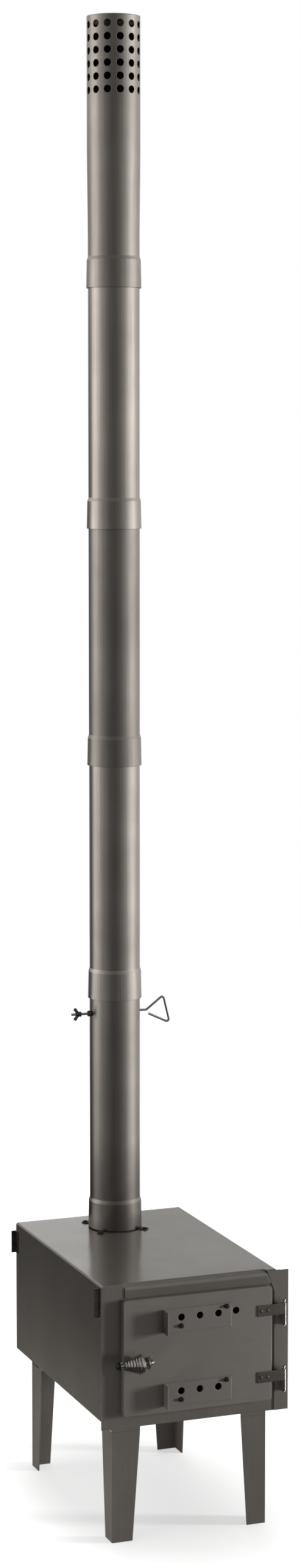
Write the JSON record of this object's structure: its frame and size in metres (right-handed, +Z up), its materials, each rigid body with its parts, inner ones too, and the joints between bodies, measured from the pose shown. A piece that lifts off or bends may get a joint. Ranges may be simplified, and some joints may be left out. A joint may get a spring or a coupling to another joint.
{
  "type": "tent wood stove",
  "caption": "Sheet-steel tent stove with folding angle legs, a hinged front door, sliding draught vents, a coil-grip latch and a tall sectional flue with damper and spark arrestor.",
  "frame": {"origin": "on the ground, at the middle of the overall footprint: halfway between the side ears and the hinge plate, and halfway between the latch grip and the back", "axes": "+Z up along the flue, -Y towards the door's side, +X towards the hinge side"},
  "size_m": [0.3416, 0.4878, 2.5233],
  "materials": {
    "body_steel": "satin, dark warm grey",
    "dark_steel": "satin, dark",
    "flue_steel": "satin",
    "plated_steel": "bright zinc plate"
  },
  "bodies": {
    "stove_body": {"body_shell": "body_steel", "floor_panel": "body_steel", "back_panel": "body_steel", "front_panel": "body_steel", "hinge_plate": "body_steel", "side_ears": "dark_steel", "hinge_lugs": "plated_steel", "hinge_pins": "plated_steel", "flue_collar": "dark_steel", "collar_screws": "plated_steel", "leg_bracket_front_left": "body_steel", "leg_bracket_front_right": "body_steel", "leg_bracket_rear_left": "body_steel", "leg_bracket_rear_right": "body_steel", "leg_bolts": "plated_steel", "leg_nuts": "plated_steel"},
    "door_body": {"door": "body_steel", "hinge_straps": "plated_steel", "strap_rivets": "dark_steel", "vent_screws": "plated_steel", "vent_nuts": "plated_steel"},
    "upper_vent": {"vent_slide_upper": "body_steel"},
    "lower_vent": {"vent_slide_lower": "body_steel"},
    "latch": {"latch_rod": "plated_steel", "latch_coil_grip": "plated_steel", "latch_grip_washer": "plated_steel", "latch_tip_nut": "plated_steel", "latch_washer": "plated_steel", "latch_nut": "plated_steel", "latch_tongue": "dark_steel", "tongue_nut": "plated_steel"},
    "front_left_leg": {"leg_front_left": "body_steel"},
    "front_right_leg": {"leg_front_right": "body_steel"},
    "rear_left_leg": {"leg_rear_left": "body_steel"},
    "rear_right_leg": {"leg_rear_right": "body_steel"},
    "flue_1": {"flue_section_1": "flue_steel"},
    "flue_2": {"flue_section_2": "flue_steel"},
    "flue_3": {"flue_section_3": "flue_steel"},
    "flue_4": {"flue_section_4": "flue_steel"},
    "flue_5": {"flue_section_5": "flue_steel", "arrestor_cap": "flue_steel"},
    "damper": {"damper_plate": "dark_steel", "damper_clips": "dark_steel", "damper_rod": "plated_steel", "damper_nut": "plated_steel", "damper_wing_nut": "plated_steel"}
  },
  "joints": [
    {"name": "door_hinge", "type": "hinge", "parent": "stove_body", "child": "door_body", "pos_m": [0.15975, -0.20768, 0.305], "axis": [0, 0, 1], "range_deg": [0, 170]},
    {"name": "upper_vent_slide", "type": "slide", "parent": "door_body", "child": "upper_vent", "axis": [1, 0, 0], "range_m": [0, 0.0159]},
    {"name": "lower_vent_slide", "type": "slide", "parent": "door_body", "child": "lower_vent", "axis": [1, 0, 0], "range_m": [0, 0.0159]},
    {"name": "latch_turn", "type": "hinge", "parent": "door_body", "child": "latch", "pos_m": [-0.07975, -0.21008, 0.3095], "axis": [0, 1, 0], "range_deg": [-60, 30]},
    {"name": "front_left_leg_fold", "type": "hinge", "parent": "stove_body", "child": "front_left_leg", "pos_m": [-0.14175, -0.15848, 0.195], "axis": [1, 0, 0], "range_deg": [0, 90]},
    {"name": "front_right_leg_fold", "type": "hinge", "parent": "stove_body", "child": "front_right_leg", "pos_m": [0.13025, -0.15848, 0.195], "axis": [1, 0, 0], "range_deg": [0, 90]},
    {"name": "rear_left_leg_fold", "type": "hinge", "parent": "stove_body", "child": "rear_left_leg", "pos_m": [-0.14175, 0.17792, 0.195], "axis": [1, 0, 0], "range_deg": [-70, 0]},
    {"name": "rear_right_leg_fold", "type": "hinge", "parent": "stove_body", "child": "rear_right_leg", "pos_m": [0.13025, 0.17792, 0.195], "axis": [1, 0, 0], "range_deg": [-70, 0]},
    {"name": "flue_1_lift", "type": "slide", "parent": "stove_body", "child": "flue_1", "axis": [0, 0, 1], "range_m": [0, 0.06]},
    {"name": "flue_2_lift", "type": "slide", "parent": "flue_1", "child": "flue_2", "axis": [0, 0, 1], "range_m": [0, 0.06]},
    {"name": "flue_3_lift", "type": "slide", "parent": "flue_2", "child": "flue_3", "axis": [0, 0, 1], "range_m": [0, 0.06]},
    {"name": "flue_4_lift", "type": "slide", "parent": "flue_3", "child": "flue_4", "axis": [0, 0, 1], "range_m": [0, 0.06]},
    {"name": "flue_5_lift", "type": "slide", "parent": "flue_4", "child": "flue_5", "axis": [0, 0, 1], "range_m": [0, 0.06]},
    {"name": "damper_turn", "type": "hinge", "parent": "flue_1", "child": "damper", "pos_m": [-0.00575, 0.16092, 0.82], "axis": [1, 0, 0], "range_deg": [0, 90]}
  ]
}
